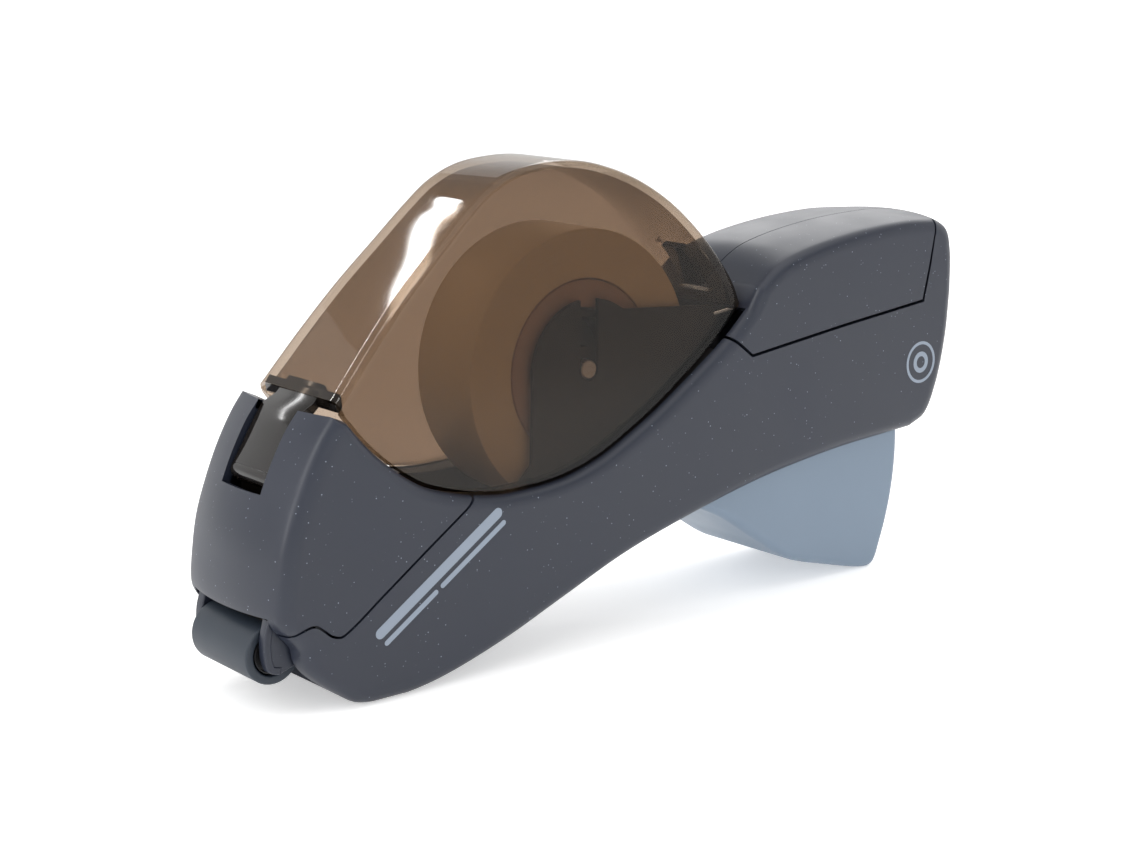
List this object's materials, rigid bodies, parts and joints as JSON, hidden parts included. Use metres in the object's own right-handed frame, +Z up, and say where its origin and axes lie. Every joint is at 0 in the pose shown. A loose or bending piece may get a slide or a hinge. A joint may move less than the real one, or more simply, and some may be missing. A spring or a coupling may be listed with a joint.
{
  "type": "tape dispenser",
  "caption": "Hand-held tape dispenser with smoked flip-up cover, front press roller, squeeze trigger, cutter linkage, feed rollers and a curved handle.",
  "frame": {"origin": "centre of the overall length and width, on the surface it stands on", "axes": "+Z up; the press roller points along -X and the handle along +X; Y is the width, the left side is -Y"},
  "size_m": [0.1922, 0.036, 0.1001],
  "materials": {
    "housing_plastic": "satin, fine pale flecks",
    "frame_plastic": "satin black",
    "smoked_plastic": "polished, transparent smoked brown",
    "trigger_plastic": "satin light blue-grey",
    "roller_rubber": "smooth moulded",
    "gear_nylon": "moulded nylon",
    "steel": "drawn or stamped",
    "tape_film": "wound clear film",
    "core_card": "wound card"
  },
  "bodies": {
    "housing": {"casing_left": "housing_plastic", "casing_right": "housing_plastic", "nose_cover": "housing_plastic", "handle_panel_left": "housing_plastic", "handle_panel_right": "housing_plastic", "casing_screw_front": "steel", "casing_screw_middle": "steel", "casing_screw_handle": "steel", "casing_screw_rear": "steel", "side_frame_left": "frame_plastic", "side_frame_right": "frame_plastic", "roller_arm_left": "housing_plastic", "roller_arm_right": "housing_plastic", "press_roller_axle": "steel", "tape_lead": "tape_film", "tape_guide_plate": "steel", "idler_pin": "steel", "rocker_pin": "steel", "trigger_pivot_pin": "steel", "trigger_spring": "steel", "cover_hinge_pin": "steel"},
    "cover": {"smoked_cover": "smoked_plastic"},
    "latch": {"cover_latch_tab": "smoked_plastic"},
    "press_roller": {"press_roller_core": "frame_plastic", "press_roller_sleeve": "roller_rubber"},
    "tape": {"tape_roll": "tape_film", "tape_core": "core_card", "core_hub": "frame_plastic", "hub_axle": "steel"},
    "feed": {"feed_shaft": "steel", "feed_roller": "roller_rubber", "ratchet_wheel": "gear_nylon"},
    "idler": {"idler_roller": "gear_nylon"},
    "trigger": {"trigger": "trigger_plastic"},
    "link": {"link_bar": "steel"},
    "rocker": {"cutter_rocker": "steel"},
    "pawl": {"feed_pawl": "steel"},
    "cutter": {"blade_holder": "frame_plastic", "blade": "steel"}
  },
  "joints": [
    {"name": "cover_hinge", "type": "hinge", "parent": "housing", "child": "cover", "pos_m": [-0.0859, 0, 0.0442], "axis": [0, -1, 0], "range_deg": [0, 95]},
    {"name": "latch_press", "type": "hinge", "parent": "cover", "child": "latch", "pos_m": [0.0201, 0, 0.0794], "axis": [0, 1, 0], "range_deg": [0, 6], "stiffness_Nm_per_rad": 0.15},
    {"name": "tape_spin", "type": "hinge", "parent": "housing", "child": "tape", "pos_m": [-0.0136, 0, 0.057], "axis": [0, 1, 0], "continuous": true},
    {"name": "press_roller_spin", "type": "hinge", "parent": "housing", "child": "press_roller", "pos_m": [-0.0901, 0, 0.012], "axis": [0, 1, 0], "continuous": true},
    {"name": "feed_spin", "type": "hinge", "parent": "housing", "child": "feed", "pos_m": [-0.0691, 0, 0.0273], "axis": [0, 1, 0], "continuous": true},
    {"name": "idler_spin", "type": "hinge", "parent": "housing", "child": "idler", "pos_m": [-0.0675, 0, 0.0157], "axis": [0, 1, 0], "continuous": true},
    {"name": "trigger_squeeze", "type": "hinge", "parent": "housing", "child": "trigger", "pos_m": [0.0149, 0, 0.029], "axis": [0, -1, 0], "range_deg": [0, 20], "stiffness_Nm_per_rad": 0.6, "springref_deg": -22.92},
    {"name": "link_pivot", "type": "hinge", "parent": "trigger", "child": "link", "pos_m": [0.0179, 0, 0.042], "axis": [0, -1, 0], "range_deg": [-26, 3]},
    {"name": "rocker_pivot", "type": "hinge", "parent": "housing", "child": "rocker", "pos_m": [-0.0821, 0, 0.029], "axis": [0, -1, 0], "range_deg": [-3, 34]},
    {"name": "pawl_pivot", "type": "hinge", "parent": "rocker", "child": "pawl", "pos_m": [-0.0766, 0, 0.0345], "axis": [0, -1, 0], "range_deg": [0, 12], "stiffness_Nm_per_rad": 0.01},
    {"name": "blade_slide", "type": "slide", "parent": "housing", "child": "cutter", "axis": [0, 0, -1], "range_m": [-0.0005, 0.0034]}
  ],
  "couplings": [
    {"joint": "press_roller_spin", "follows": "tape_spin", "ratio": -4.8167},
    {"joint": "feed_spin", "follows": "tape_spin", "ratio": 4.8167},
    {"joint": "idler_spin", "follows": "tape_spin", "ratio": -6.881},
    {"joint": "link_pivot", "follows": "trigger_squeeze", "ratio": -1},
    {"joint": "rocker_pivot", "follows": "trigger_squeeze", "ratio": 1.3636},
    {"joint": "blade_slide", "follows": "trigger_squeeze", "m_per_rad": 0.0078}
  ]
}
